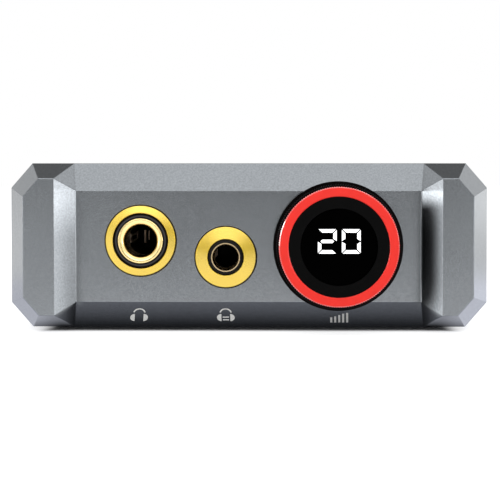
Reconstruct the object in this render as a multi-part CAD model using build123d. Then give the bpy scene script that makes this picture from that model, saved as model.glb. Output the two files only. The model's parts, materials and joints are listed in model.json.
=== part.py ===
from build123d import *
import math
import os

# Desktop DAC and headphone amplifier. Millimetres, +Z up, front towards -Y.
# Sizes called "depth" run backwards from the front plane of the two side ears.

# ---- Case ----
CASE_WIDTH = 100.0
CASE_HEIGHT = 34.4
CASE_DEPTH = 110.0
CORNER_X = 4.5            # chamfer of the octagonal section, across
CORNER_Z = 5.15           # chamfer of the octagonal section, up
WALL = 2.0
SHELL_LENGTH = 22.0       # front shell, ear plane to sleeve
REAR_PLATE = 2.0
FOOT_PROUD = 0.8
FOOT_RECESS = 0.4
FOOT_R = 5.0
FOOT_INSET_X = 14.0       # case side to foot centre
FOOT_INSET_FRONT = 12.0   # sleeve front to foot centre
FOOT_INSET_REAR = 12.0

# ---- Faceted front ----
BEVEL_DEPTH = 7.6         # depth at which the outer facets meet the case
BEVEL_SIDE = 3.85         # how far the ears' side facets step in
BEVEL_TOP = 3.15          # how far the ears' top and bottom facets step in
EAR_CORNER_X = 3.2        # chamfer at the corners of an ear's front, across
EAR_WIDTH = 6.35          # flat front of an ear
PANEL_DEPTH = 3.2         # recess of the centre panel
SLANT_WIDTH = 4.1         # slanted wall between ear and panel
BAND_HEIGHT = 5.7         # sloping band above and below the panel
TRIANGLE_RUN = 3.1        # sideways run of the triangular facet along the top edge
PANEL_WALL = 3.0
EDGE_R = 0.2              # rounding of the facets' edges

# ---- Inside of the case ----
PILLAR_WIDTH = 12.5       # screw pillar, from the case's side
PILLAR_HEIGHT = 9.7       # screw pillar, from the case's top or bottom
FRONT_BAY_WALL = 4.2      # above and below the front shell's bay
SIDE_BAY_FRONT_WALL = 6.0  # front shell wall outside the side bays
RAIL_HEIGHT = 1.2
RAIL_DEPTH = 2.4
SLIDE_FIT = 0.1
SEAT_GAP = 0.02

# ---- Tie screws (M2.5) ----
TIE_R = 1.25
TIE_CLEARANCE = 0.2
TIE_HEAD_R = 2.3
TIE_HEAD = 1.5
TIE_ENGAGE = 8.0
TIE_HEX_ACROSS = 1.6
TIE_HEX_DEPTH = 0.9
TIE_FROM_SIDE = 9.0
TIE_FROM_TOP = 6.7

# ---- Boards ----
BOARD = 1.6
BOARD_FRONT = 8.0         # depth of the front edge under the jacks
BOARD_STEP_DEPTH = 17.0   # depth of the front edge behind the volume control
BOARD_STEP_X = 2.4
BOARD_REAR_GAP = 1.0
FRONT_BOARD = 1.2
FRONT_BOARD_DEPTH = 14.0
FRONT_BOARD_HALF_WIDTH = 13.8
FRONT_BOARD_GAP = 0.8     # below and above the front board
POST_R = 2.2
BOARD_SCREW_R = 1.0
BOARD_SCREW_HEAD_R = 1.8
BOARD_SCREW_HEAD = 1.2
BOARD_SCREW_LENGTH = 5.0

# ---- 6.35 mm headphone jack ----
BIG_JACK_X = -22.3
BIG_JACK_HEIGHT = 7.03    # bore's axis above the main board
BIG_BORE_R = 3.25
BIG_FERRULE_R = 4.68
BIG_FERRULE_PROUD = 1.0
BIG_FERRULE_LENGTH = 7.8
BIG_MOUTH_DEPTH = 1.05    # rounding of the mouth, inside
BIG_MOUTH_EDGE = 0.25     # rounding of the mouth, outside
BIG_NOSE_R = 5.7
BIG_NOSE_PROUD = 0.6
BIG_NUT_R = 7.25
BIG_NUT_PROUD = 0.9
NUT_EDGE = 0.12
NUT_FALL = 0.16           # how far a nut's face falls off towards its rim, per millimetre of width
NUT_RECESS = 0.6
NUT_RECESS_GAP = 0.22
BIG_BODY_HALF_WIDTH = 7.5
BIG_BODY_ABOVE = 7.0      # top of the housing above the bore's axis
BIG_BODY_LENGTH = 30.0
BIG_PLUG_BORE_R = 3.6
BIG_END_WALL = 2.0
BIG_LEAF_STARTS = (8.0, 15.0, 22.0)   # contact springs behind the panel wall
BIG_LEAF_LENGTH = 4.0
LEAF_WIDTH = 1.8
LEAF_REACH = 1.6
LEAF_CLEAR = 0.12         # contact face outside the guiding bore

# ---- 4.4 mm balanced jack ----
SMALL_JACK_X = -4.7
SMALL_JACK_HEIGHT = 3.63  # bore's axis above the main board
SMALL_BORE_R = 2.45
SMALL_RING_R = 2.98
SMALL_RING_PROUD = 1.0
SMALL_RING_LENGTH = 6.0
SMALL_MOUTH_R = 2.76
SMALL_MOUTH_DEPTH = 1.2   # flare of the mouth
SMALL_NOSE_R = 3.68
SMALL_NOSE_PROUD = 0.9
SMALL_NUT_R = 6.3
SMALL_NUT_PROUD = 0.7
SMALL_BODY_HALF_WIDTH = 6.0
SMALL_BODY_ABOVE = 6.8
SMALL_BODY_LENGTH = 21.0
SMALL_PLUG_BORE_R = 3.2   # behind the guide ring
SMALL_END_WALL = 2.5
SMALL_LEAF_START = 6.5    # first contact behind the panel wall
SMALL_LEAF_PITCH = 2.4
SMALL_LEAF_COUNT = 5
SMALL_LEAF_LENGTH = 1.4

NOSE_CLEARANCE = 0.1
NOSE_EDGE = 0.4           # chamfer round the front of a jack's nose
THREAD_GAP = 0.02

# ---- Volume knob and its display ----
KNOB_X = 18.5
KNOB_Z = 0.12
KNOB_GAP = 0.9            # panel to the back of the knob
PRESS_TRAVEL = 0.4
KNOB_HEIGHT = 4.9
SKIRT_R = 13.35
SKIRT_HEIGHT = 0.8
BARREL_R = 12.8
KNURL_DEPTH = 0.2
KNURL_TEETH = 160
BARREL_EDGE = 0.25        # chamfer round the front of the barrel
RING_R = 12.3
RING_INNER_R = 10.28
RING_HEIGHT = 0.5         # part of the ring that stands above the barrel
RING_EDGE = 0.25          # chamfer round the outside of the ring's front
RING_INNER_EDGE = 0.15
RING_SPIGOT = 1.5
RING_SPIGOT_R = 11.8
FACE_SINK = 0.15
FACE_THICK = 1.0
FACE_FIT = 0.03
LEDGE_R = 9.6
WEB = 1.3
WINDOW_R = 7.6
WINDOW_THICK = 0.8
WINDOW_SINK = 0.1
WINDOW_GAP = 0.25         # running gap round the fixed display
CUP_DEPTH = 2.4
CUP_WALL = 0.8
STEM_R = 3.6
STEM_HOLE_R = 2.0
STEM_FOOT_R = 5.0
STEM_FOOT = 0.5
ROTOR_R = 5.85
ROTOR_WALL = 1.85
RUNNING = 0.05            # radial clearance of the shaft fits
BUSH_WALL = 1.5
BUSH_FLANGE_R = 8.6
BUSH_FLANGE = 1.3
COLLAR_R = 6.6
COLLAR = 0.35
AXIAL_PLAY = 0.08
CARRIAGE_HALF = 9.2
CARRIAGE = 4.0
ROTOR_FLANGE_R = 7.0
ROTOR_FLANGE = 0.8
TACT_HALF = 1.6
TACT_SPACING = 7.2        # knob axis to a press switch, sideways and up
TACT_BODY = 1.0
TACT_PLUNGER_R = 0.7
TACT_GAP = 0.1            # left between carriage and plunger at full travel

# ---- Lit digits ----
DIGIT_WIDTH = 3.8
DIGIT_HEIGHT = 4.95
DIGIT_PITCH = 4.85
DIGIT_RAISE = 1.2         # digits sit this far above the window's centre
SEGMENT = 0.7
SEGMENT_GAP = 0.18
SEGMENT_THICK = 0.2
SEGMENT_CORNER = 0.15     # cut off the digits' outer corners
DIGIT_SEGMENTS = ("abged", "abcdef")
DIGIT_BARS = {"a": ((-1, 1), (1, 1)), "b": ((1, 1), (1, 0)), "c": ((1, 0), (1, -1)),
              "d": ((1, -1), (-1, -1)), "e": ((-1, -1), (-1, 0)), "f": ((-1, 0), (-1, 1)),
              "g": ((-1, 0), (1, 0))}
MODULE_HALF_WIDTH = 5.2
MODULE_HALF_HEIGHT = 4.0

# ---- Rear connectors ----
RCA_CENTRES = {"line_left": -34.0, "line_right": -20.0, "coax": -6.0}
RCA_HEIGHT = 6.28         # axis above the main board
RCA_BODY_HALF = 4.9
RCA_BODY_LENGTH = 11.0
RCA_BARREL_R = 4.1
RCA_BARREL_WALL = 0.45
RCA_PROUD = 8.0
RCA_FLANGE_R = 5.4
RCA_FLANGE = 0.9
RCA_SOCKET_R = 1.6
RCA_INSERT_SINK = 0.4
RCA_TAIL = 4.0
PORT_FIT = 0.15

USB_CENTRES = {"usb_data": 24.9, "usb_power": 36.0}
USB_WIDTH = 8.94
USB_HEIGHT = 3.26
USB_LENGTH = 7.35
USB_SHEET = 0.3
USB_BACK = 1.7
USB_TONGUE_WIDTH = 6.6
USB_TONGUE = 0.7
USB_TONGUE_SINK = 0.8

OPTICAL_X = 5.2
OPTICAL_BODY_HALF = 4.9
OPTICAL_BODY_HEIGHT = 10.6
OPTICAL_BODY_LENGTH = 9.0
OPTICAL_SNOUT_HALF = 4.2
OPTICAL_PORT_HALF = 3.3
OPTICAL_PROUD = 0.4
OPTICAL_PORT_DEPTH = 8.0
SHUTTER = 0.6
SHUTTER_SINK = 0.5
SHUTTER_GAP = 0.2
SHUTTER_PIN_R = 0.45
SHUTTER_PIN_DROP = 0.75   # port's ceiling to the pin's axis
SHUTTER_PIN_END = 0.5     # pin's length in each cheek

SWITCH_X = 15.6
SWITCH_HALF_WIDTH = 4.3
SWITCH_HEIGHT = 3.6
SWITCH_LENGTH = 4.0
SWITCH_TRAVEL = 2.0
SLIDER_WIDTH = 2.0
SLIDER_HEIGHT = 1.5
SLIDER_PROUD = 1.5
SLIDER_SUNK = 2.2
SLIDER_FIT = 0.12

# ---- Parts on the main board: half width, half length, height ----
CHIP = (3.5, 3.5, 1.0)
PROCESSOR = (5.0, 5.0, 1.2)
OP_AMP = (1.95, 2.5, 1.6)
OSCILLATOR = (2.5, 3.5, 1.8)
FILM_CAPACITOR = (1.6, 3.6, 6.5)
INDUCTOR = (3.0, 3.0, 3.0)
CAN = (9.0, 9.0, 3.6)
CAN_SHEET = 0.3
ELECTROLYTIC_R = 3.15
ELECTROLYTIC_HEIGHT = 8.0
LINK_HALF_WIDTH = 6.0
LINK_HEIGHT = 4.0
LINK_LENGTH = 6.0
CHIP_PLACES = ((-26.0, 56.0), (-26.0, 68.0))
OP_AMP_PLACES = ((-37.0, 50.0), (-37.0, 60.0), (-12.0, 50.0), (-12.0, 60.0))
OSCILLATOR_PLACES = ((-14.0, 72.0), (-14.0, 82.0))
ELECTROLYTIC_PLACES = ((-30.0, 44.0), (-20.0, 44.0), (4.0, 44.0), (13.0, 44.0),
                       (22.0, 44.0), (31.0, 44.0))
FILM_PLACES = ((-37.0, 72.0), (-37.0, 84.0), (-31.0, 84.0))
INDUCTOR_PLACES = ((6.0, 58.0), (14.0, 58.0), (36.0, 62.0))
PROCESSOR_PLACE = (4.0, 76.0)
CAN_PLACE = (27.0, 82.0)

# ---- Worked out from the values above ----
HALF_WIDTH = CASE_WIDTH / 2
HALF_HEIGHT = CASE_HEIGHT / 2
BODY_Z = FOOT_PROUD + HALF_HEIGHT
REAR_FACE = CASE_DEPTH
SLEEVE_REAR = CASE_DEPTH - REAR_PLATE
KNOB_BACK = PANEL_DEPTH - KNOB_GAP
KNOB_FRONT = KNOB_BACK - KNOB_HEIGHT
FRONT_Y = (-KNOB_FRONT - REAR_FACE - RCA_PROUD) / 2
PANEL_BACK = PANEL_DEPTH + PANEL_WALL
EAR_OUTER_X = HALF_WIDTH - BEVEL_SIDE
EAR_TOP_Z = HALF_HEIGHT - BEVEL_TOP
EAR_INNER_X = EAR_OUTER_X - EAR_WIDTH
EAR_CORNER_Z = EAR_CORNER_X * CORNER_Z / CORNER_X
PANEL_HALF_WIDTH = EAR_INNER_X - SLANT_WIDTH
PANEL_HALF_HEIGHT = HALF_HEIGHT - BAND_HEIGHT
BAY_HALF_WIDTH = HALF_WIDTH - PILLAR_WIDTH
BAY_HALF_HEIGHT = HALF_HEIGHT - FRONT_BAY_WALL
SIDE_BAY_HALF_HEIGHT = HALF_HEIGHT - PILLAR_HEIGHT
FRONT_BOARD_HALF_HEIGHT = BAY_HALF_HEIGHT - FRONT_BOARD_GAP
TIE_X = HALF_WIDTH - TIE_FROM_SIDE
TIE_Z = HALF_HEIGHT - TIE_FROM_TOP
BOARD_BOTTOM = -SIDE_BAY_HALF_HEIGHT + SEAT_GAP
BOARD_TOP = BOARD_BOTTOM + BOARD
BOARD_REAR = SLEEVE_REAR - BOARD_REAR_GAP
BIG_JACK_Z = BOARD_TOP + BIG_JACK_HEIGHT
SMALL_JACK_Z = BOARD_TOP + SMALL_JACK_HEIGHT
RCA_Z = BOARD_TOP + RCA_HEIGHT
BUSH_R = ROTOR_R + RUNNING + BUSH_WALL
BUSH_BACK = PANEL_BACK + BUSH_FLANGE
CARRIAGE_FRONT = BUSH_BACK + COLLAR + 2 * AXIAL_PLAY
CARRIAGE_BACK = CARRIAGE_FRONT + CARRIAGE
ROTOR_BACK = CARRIAGE_BACK + AXIAL_PLAY + ROTOR_FLANGE
WEB_FRONT = KNOB_BACK - WEB
RING_SEAT = KNOB_FRONT + RING_HEIGHT + RING_SPIGOT
WINDOW_FRONT = KNOB_FRONT + WINDOW_SINK
WINDOW_BACK = WINDOW_FRONT + WINDOW_THICK
CUP_BACK = WINDOW_BACK + CUP_DEPTH
FACE_FRONT = KNOB_FRONT + FACE_SINK
FACE_BACK = FACE_FRONT + FACE_THICK
USB_Z = BOARD_TOP + USB_HEIGHT / 2
SWITCH_Z = BOARD_TOP + SWITCH_HEIGHT / 2
OPTICAL_Z = BOARD_TOP + OPTICAL_BODY_HEIGHT / 2


def at(x, depth, z):
    """Location from the case's middle: across, back from the ear plane, up."""
    return Pos(x, FRONT_Y + depth, BODY_Z + z)


def block(x_span, depth_span, z_span):
    """Box between pairs of limits."""
    spans = (x_span, depth_span, z_span)
    sizes = [high - low for low, high in spans]
    middles = [(low + high) / 2 for low, high in spans]
    return at(*middles) * Box(*sizes)


def bar(x, z, depth_span, radius):
    """Round bar along the depth."""
    low, high = depth_span
    return at(x, (low + high) / 2, z) * Rot(90, 0, 0) * Cylinder(radius, high - low)


def ring(x, z, depth_span, outer_r, inner_r):
    """Plain ring along the depth."""
    return bar(x, z, depth_span, outer_r) - bar(x, z, depth_span, inner_r)


def turned(x, z, outline):
    """Solid turned about a depth axis; the outline's points are (radius, depth)."""
    face = make_face(Polyline(*outline, close=True))
    return at(x, 0, z) * revolve(face, Axis.Y)


def upright(x, depth, z_span, radius):
    """Round bar standing up."""
    low, high = z_span
    return at(x, depth, (low + high) / 2) * Cylinder(radius, high - low)


def group(solids):
    """Several separate solids in one node."""
    return Compound(children=list(solids))


def octagon(depth_span, inset=0.0):
    """Slice of the case's octagonal section, moved in by an even wall."""
    across = math.hypot(CORNER_X, CORNER_Z)
    half_w = HALF_WIDTH - inset
    half_h = HALF_HEIGHT - inset
    cut_x = CORNER_X - inset * (CORNER_Z + CORNER_X - across) / CORNER_Z
    cut_z = cut_x * CORNER_Z / CORNER_X
    quarter = [(half_w, half_h - cut_z), (half_w - cut_x, half_h)]
    outline = []
    for sign_x, sign_z, corner in ((1, 1, quarter), (-1, 1, quarter[::-1]),
                                   (-1, -1, quarter), (1, -1, quarter[::-1])):
        outline += [(sign_x * x, sign_z * z) for x, z in corner]
    low, high = depth_span
    face = Plane.XZ * make_face(Polyline(*outline, close=True))
    return at(0, low, 0) * extrude(face, high - low, dir=(0, 1, 0))


def tie_points():
    """The four corners where tie screws run."""
    return [(sx * TIE_X, sz * TIE_Z) for sx in (-1, 1) for sz in (-1, 1)]


# ---- Case ----
def faceted_block():
    """Solid front block: ears, slanted walls, panel and bands as flat facets."""
    def corner(x, depth, z):
        return {(sx, sz): (sx * x, FRONT_Y + depth, BODY_Z + sz * z)
                for sx in (-1, 1) for sz in (-1, 1)}

    case_top = corner(HALF_WIDTH - CORNER_X, BEVEL_DEPTH, HALF_HEIGHT)
    case_side = corner(HALF_WIDTH, BEVEL_DEPTH, HALF_HEIGHT - CORNER_Z)
    ear_top = corner(EAR_OUTER_X - EAR_CORNER_X, 0, EAR_TOP_Z)
    ear_side = corner(EAR_OUTER_X, 0, EAR_TOP_Z - EAR_CORNER_Z)
    ear_inner = corner(EAR_INNER_X, 0, EAR_TOP_Z)
    band_end = corner(EAR_INNER_X - TRIANGLE_RUN, BEVEL_DEPTH, HALF_HEIGHT)
    panel = corner(PANEL_HALF_WIDTH, PANEL_DEPTH, PANEL_HALF_HEIGHT)
    back_top = corner(HALF_WIDTH - CORNER_X, SHELL_LENGTH, HALF_HEIGHT)
    back_side = corner(HALF_WIDTH, SHELL_LENGTH, HALF_HEIGHT - CORNER_Z)

    loops = [[panel[-1, 1], panel[1, 1], panel[1, -1], panel[-1, -1]]]
    back = []
    for sx, sz in ((1, 1), (1, -1), (-1, -1), (-1, 1)):
        pair = [back_top[sx, sz], back_side[sx, sz]]
        back += pair if sx * sz > 0 else pair[::-1]
    loops.append(back)
    for sx in (-1, 1):
        up, down = (sx, 1), (sx, -1)
        loops.append([ear_top[up], ear_side[up], ear_side[down], ear_top[down],
                      ear_inner[down], ear_inner[up]])
        loops.append([ear_side[up], ear_side[down], case_side[down], case_side[up]])
        loops.append([ear_inner[up], ear_inner[down], panel[down], panel[up]])
        loops.append([case_side[up], case_side[down], back_side[down], back_side[up]])
        for key in (up, down):
            loops.append([ear_top[key], ear_side[key], case_side[key], case_top[key]])
            loops.append([ear_top[key], ear_inner[key], band_end[key], case_top[key]])
            loops.append([ear_inner[key], band_end[key], panel[key]])
            loops.append([case_top[key], case_side[key], back_side[key], back_top[key]])
    for sz in (-1, 1):
        left, right = (-1, sz), (1, sz)
        loops.append([band_end[left], band_end[right], panel[right], panel[left]])
        loops.append([case_top[left], band_end[left], band_end[right], case_top[right],
                      back_top[right], back_top[left]])
    faces = [Face(Wire.make_polygon([Vector(*p) for p in loop], close=True)) for loop in loops]
    solid = Solid(Shell(faces))
    last_facet = FRONT_Y + BEVEL_DEPTH + EDGE_R
    return fillet([edge for edge in solid.edges() if edge.center().Y < last_facet], EDGE_R)


def board_posts():
    """Where the front board's four screws go."""
    dx = FRONT_BOARD_HALF_WIDTH - POST_R
    dz = FRONT_BOARD_HALF_HEIGHT - POST_R
    return [(KNOB_X + sx * dx, KNOB_Z + sz * dz) for sx in (-1, 1) for sz in (-1, 1)]


def front_shell():
    """Machined front with its bays, port holes and screw posts."""
    shell = faceted_block()
    bay = (PANEL_BACK, SHELL_LENGTH)
    side_bay = HALF_WIDTH - SIDE_BAY_FRONT_WALL
    shell -= block((-BAY_HALF_WIDTH, BAY_HALF_WIDTH), bay, (-BAY_HALF_HEIGHT, BAY_HALF_HEIGHT))
    shell -= block((-side_bay, side_bay), bay, (-SIDE_BAY_HALF_HEIGHT, SIDE_BAY_HALF_HEIGHT))
    for x, z in board_posts():
        shell += bar(x, z, (PANEL_BACK, FRONT_BOARD_DEPTH), POST_R)
    for x, z in board_posts():
        shell -= bar(x, z, (FRONT_BOARD_DEPTH + FRONT_BOARD - BOARD_SCREW_LENGTH,
                            FRONT_BOARD_DEPTH), BOARD_SCREW_R)
    through = (0, PANEL_BACK)
    shell -= bar(BIG_JACK_X, BIG_JACK_Z, through, BIG_NOSE_R + NOSE_CLEARANCE)
    shell -= bar(BIG_JACK_X, BIG_JACK_Z, (0, PANEL_DEPTH + NUT_RECESS), BIG_NUT_R + NUT_RECESS_GAP)
    shell -= bar(SMALL_JACK_X, SMALL_JACK_Z, through, SMALL_NOSE_R + NOSE_CLEARANCE)
    shell -= bar(SMALL_JACK_X, SMALL_JACK_Z, (0, PANEL_DEPTH + NUT_RECESS), SMALL_NUT_R + NUT_RECESS_GAP)
    shell -= bar(KNOB_X, KNOB_Z, through, BUSH_R)
    for x, z in tie_points():
        shell -= bar(x, z, (SHELL_LENGTH - TIE_ENGAGE, SHELL_LENGTH), TIE_R)
    return shell


def body_sleeve():
    """Extruded octagonal sleeve with screw pillars and board rails."""
    span = (SHELL_LENGTH, SLEEVE_REAR)
    inner_x = HALF_WIDTH - WALL
    inner_z = HALF_HEIGHT - WALL
    sleeve = octagon(span)
    hollow = block((-BAY_HALF_WIDTH, BAY_HALF_WIDTH), span, (-inner_z, inner_z))
    hollow += block((-inner_x, inner_x), span, (-SIDE_BAY_HALF_HEIGHT, SIDE_BAY_HALF_HEIGHT))
    sleeve -= hollow
    rail_low = BOARD_TOP + SLIDE_FIT
    for low, high in ((-inner_x, RAIL_DEPTH - inner_x), (inner_x - RAIL_DEPTH, inner_x)):
        sleeve += block((low, high), span, (rail_low, rail_low + RAIL_HEIGHT))
    for x, z in tie_points():
        sleeve -= bar(x, z, span, TIE_R + TIE_CLEARANCE)
    for x, depth in foot_places():
        sleeve -= upright(x, depth, (-HALF_HEIGHT, FOOT_RECESS - HALF_HEIGHT), FOOT_R)
    return sleeve


def rear_panel():
    """Flat octagonal plate with a hole for every connector."""
    span = (SLEEVE_REAR, REAR_FACE)
    plate = octagon(span)
    for x, z in tie_points():
        plate -= bar(x, z, span, TIE_R + TIE_CLEARANCE)
    for x in RCA_CENTRES.values():
        plate -= bar(x, RCA_Z, span, RCA_BARREL_R + PORT_FIT)
    for x in USB_CENTRES.values():
        plate -= usb_outline(x, span, PORT_FIT)
    half = OPTICAL_SNOUT_HALF + PORT_FIT
    plate -= block((OPTICAL_X - half, OPTICAL_X + half), span,
                   (OPTICAL_Z - half, OPTICAL_Z + half))
    plate -= switch_slot(span)
    return plate


def tie_screws():
    """Four long socket screws that hold plate, sleeve and front together."""
    screws = []
    for x, z in tie_points():
        screw = bar(x, z, (SHELL_LENGTH - TIE_ENGAGE, REAR_FACE), TIE_R)
        screw += bar(x, z, (REAR_FACE, REAR_FACE + TIE_HEAD), TIE_HEAD_R)
        socket = Plane.XZ * RegularPolygon(TIE_HEX_ACROSS / 2, 6, major_radius=False)
        tool = extrude(socket, TIE_HEX_DEPTH, dir=(0, 1, 0))
        screws.append(screw - at(x, REAR_FACE + TIE_HEAD - TIE_HEX_DEPTH, z) * tool)
    return group(screws)


def foot_places():
    """Where the four feet are bonded under the sleeve."""
    x = HALF_WIDTH - FOOT_INSET_X
    return [(sx * x, depth) for sx in (-1, 1)
            for depth in (SHELL_LENGTH + FOOT_INSET_FRONT, SLEEVE_REAR - FOOT_INSET_REAR)]


def feet():
    """Four round rubber pads in shallow recesses."""
    span = (-HALF_HEIGHT - FOOT_PROUD, FOOT_RECESS - HALF_HEIGHT)
    return group(upright(x, depth, span, FOOT_R) for x, depth in foot_places())


# ---- Boards ----
def main_board():
    """Main circuit board, slid in between the pillars and the rails."""
    levels = (BOARD_BOTTOM, BOARD_TOP)
    front_x = HALF_WIDTH - SIDE_BAY_FRONT_WALL - SLIDE_FIT
    rear_x = HALF_WIDTH - WALL - SLIDE_FIT
    board = block((-front_x, BOARD_STEP_X), (BOARD_FRONT, SHELL_LENGTH), levels)
    board += block((-front_x, front_x), (BOARD_STEP_DEPTH, SHELL_LENGTH), levels)
    board += block((-rear_x, rear_x), (SHELL_LENGTH, BOARD_REAR), levels)
    return board


def front_board():
    """Upright board behind the volume control."""
    span = (FRONT_BOARD_DEPTH, FRONT_BOARD_DEPTH + FRONT_BOARD)
    board = block((KNOB_X - FRONT_BOARD_HALF_WIDTH, KNOB_X + FRONT_BOARD_HALF_WIDTH), span,
                  (KNOB_Z - FRONT_BOARD_HALF_HEIGHT, KNOB_Z + FRONT_BOARD_HALF_HEIGHT))
    for x, z in board_posts():
        board -= bar(x, z, span, BOARD_SCREW_R)
    return board - bar(KNOB_X, KNOB_Z, span, STEM_HOLE_R)


def board_screws():
    """Four short screws of the front board."""
    back = FRONT_BOARD_DEPTH + FRONT_BOARD
    return group(bar(x, z, (back - BOARD_SCREW_LENGTH, back), BOARD_SCREW_R)
                 + bar(x, z, (back, back + BOARD_SCREW_HEAD), BOARD_SCREW_HEAD_R)
                 for x, z in board_posts())


def board_link():
    """Right-angle connector between the two boards."""
    start = FRONT_BOARD_DEPTH + FRONT_BOARD
    return block((KNOB_X - LINK_HALF_WIDTH, KNOB_X + LINK_HALF_WIDTH),
                 (start, start + LINK_LENGTH), (BOARD_TOP, BOARD_TOP + LINK_HEIGHT))


# ---- Jacks ----
def nose(x, z, depth_span, radius):
    """Round nose with a chamfered front edge."""
    plain = bar(x, z, depth_span, radius)
    return chamfer(plain.faces().sort_by(Axis.Y)[0].edges(), NOSE_EDGE)


# ---- 6.35 mm jack ----
def big_leaves(gap=0.0):
    """Contact springs beside the plug's bore, left and right in turn."""
    leaves = []
    inner = BIG_BORE_R + LEAF_CLEAR
    for index, start in enumerate(BIG_LEAF_STARTS):
        side = 1 if index % 2 else -1
        near, far = side * inner, side * (inner + LEAF_REACH)
        low, high = sorted((BIG_JACK_X + near, BIG_JACK_X + far + side * gap))
        depth = PANEL_BACK + start
        leaves.append(block((low, high), (depth - gap, depth + BIG_LEAF_LENGTH + gap),
                            (BIG_JACK_Z - LEAF_WIDTH / 2 - gap,
                             BIG_JACK_Z + LEAF_WIDTH / 2 + gap)))
    return leaves


def big_jack_housing():
    """Black housing on the main board, with a threaded nose through the panel."""
    back = PANEL_BACK + BIG_BODY_LENGTH
    housing = block((BIG_JACK_X - BIG_BODY_HALF_WIDTH, BIG_JACK_X + BIG_BODY_HALF_WIDTH),
                    (PANEL_BACK, back), (BOARD_TOP, BIG_JACK_Z + BIG_BODY_ABOVE))
    front = PANEL_DEPTH - BIG_NOSE_PROUD
    housing += nose(BIG_JACK_X, BIG_JACK_Z, (front, PANEL_BACK + SEAT_GAP), BIG_NOSE_R)
    ferrule_back = PANEL_DEPTH - BIG_FERRULE_PROUD + BIG_FERRULE_LENGTH
    housing -= bar(BIG_JACK_X, BIG_JACK_Z, (front, ferrule_back), BIG_FERRULE_R)
    housing -= bar(BIG_JACK_X, BIG_JACK_Z, (front, back - BIG_END_WALL), BIG_PLUG_BORE_R)
    for leaf in big_leaves(SEAT_GAP):
        housing -= leaf
    return housing


def big_jack_ferrule():
    """Gold bush that guides the plug, with a rounded lip."""
    front = PANEL_DEPTH - BIG_FERRULE_PROUD
    plain = ring(BIG_JACK_X, BIG_JACK_Z, (front, front + BIG_FERRULE_LENGTH),
                 BIG_FERRULE_R, BIG_BORE_R)
    mouth = plain.faces().sort_by(Axis.Y)[0].edges().sort_by(SortBy.RADIUS)[0]
    lipped = fillet(mouth, BIG_MOUTH_DEPTH)
    rim = lipped.faces().sort_by(Axis.Y)[0].edges().sort_by(SortBy.RADIUS)[-1]
    return fillet(rim, BIG_MOUTH_EDGE)


def ring_nut(x, z, proud, nose_radius, radius):
    """Gold ring nut on the floor of its recess, with a face that falls off towards its rim."""
    front = PANEL_DEPTH - proud
    back = PANEL_DEPTH + NUT_RECESS
    inner = nose_radius + THREAD_GAP
    rim = front + NUT_FALL * (radius - inner)
    return turned(x, z, [(inner, back), (inner, front + NUT_EDGE), (inner + NUT_EDGE, front),
                         (radius - NUT_EDGE, rim), (radius, rim + NUT_EDGE), (radius, back)])


# ---- 4.4 mm jack ----
def small_leaves(gap=0.0):
    """Five contacts beside the plug's bore, left and right in turn."""
    leaves = []
    inner = SMALL_BORE_R + LEAF_CLEAR
    for index in range(SMALL_LEAF_COUNT):
        side = 1 if index % 2 else -1
        near, far = side * inner, side * (inner + LEAF_REACH)
        low, high = sorted((SMALL_JACK_X + near, SMALL_JACK_X + far + side * gap))
        depth = PANEL_BACK + SMALL_LEAF_START + index * SMALL_LEAF_PITCH
        leaves.append(block((low, high), (depth - gap, depth + SMALL_LEAF_LENGTH + gap),
                            (SMALL_JACK_Z - LEAF_WIDTH / 2 - gap,
                             SMALL_JACK_Z + LEAF_WIDTH / 2 + gap)))
    return leaves


def small_jack_housing():
    """Black housing of the balanced jack, with its nose through the panel."""
    back = PANEL_BACK + SMALL_BODY_LENGTH
    housing = block((SMALL_JACK_X - SMALL_BODY_HALF_WIDTH, SMALL_JACK_X + SMALL_BODY_HALF_WIDTH),
                    (PANEL_BACK, back), (BOARD_TOP, SMALL_JACK_Z + SMALL_BODY_ABOVE))
    front = PANEL_DEPTH - SMALL_NOSE_PROUD
    housing += nose(SMALL_JACK_X, SMALL_JACK_Z, (front, PANEL_BACK + SEAT_GAP), SMALL_NOSE_R)
    ring_back = PANEL_DEPTH - SMALL_RING_PROUD + SMALL_RING_LENGTH
    housing -= bar(SMALL_JACK_X, SMALL_JACK_Z, (front, ring_back), SMALL_RING_R)
    housing -= bar(SMALL_JACK_X, SMALL_JACK_Z, (ring_back, back - SMALL_END_WALL),
                   SMALL_PLUG_BORE_R)
    for leaf in small_leaves(SEAT_GAP):
        housing -= leaf
    return housing


def small_jack_ring():
    """Pale gold guide ring in the nose, with a flared mouth."""
    front = PANEL_DEPTH - SMALL_RING_PROUD
    back = front + SMALL_RING_LENGTH
    return turned(SMALL_JACK_X, SMALL_JACK_Z,
                  [(SMALL_BORE_R, back), (SMALL_BORE_R, front + SMALL_MOUTH_DEPTH),
                   (SMALL_MOUTH_R, front), (SMALL_RING_R, front), (SMALL_RING_R, back)])


# ---- Knob ----
def knurled(depth_span, radius):
    """Bar along the depth with fine straight teeth."""
    outline = []
    step = 2 * math.pi / KNURL_TEETH
    for tooth in range(KNURL_TEETH):
        for offset, r in ((0.0, radius), (0.5, radius - KNURL_DEPTH)):
            angle = (tooth + offset) * step
            outline.append((r * math.cos(angle), r * math.sin(angle)))
    low, high = depth_span
    face = Plane.XZ * make_face(Polyline(*outline, close=True))
    return at(KNOB_X, low, KNOB_Z) * extrude(face, high - low, dir=(0, 1, 0))


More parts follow.
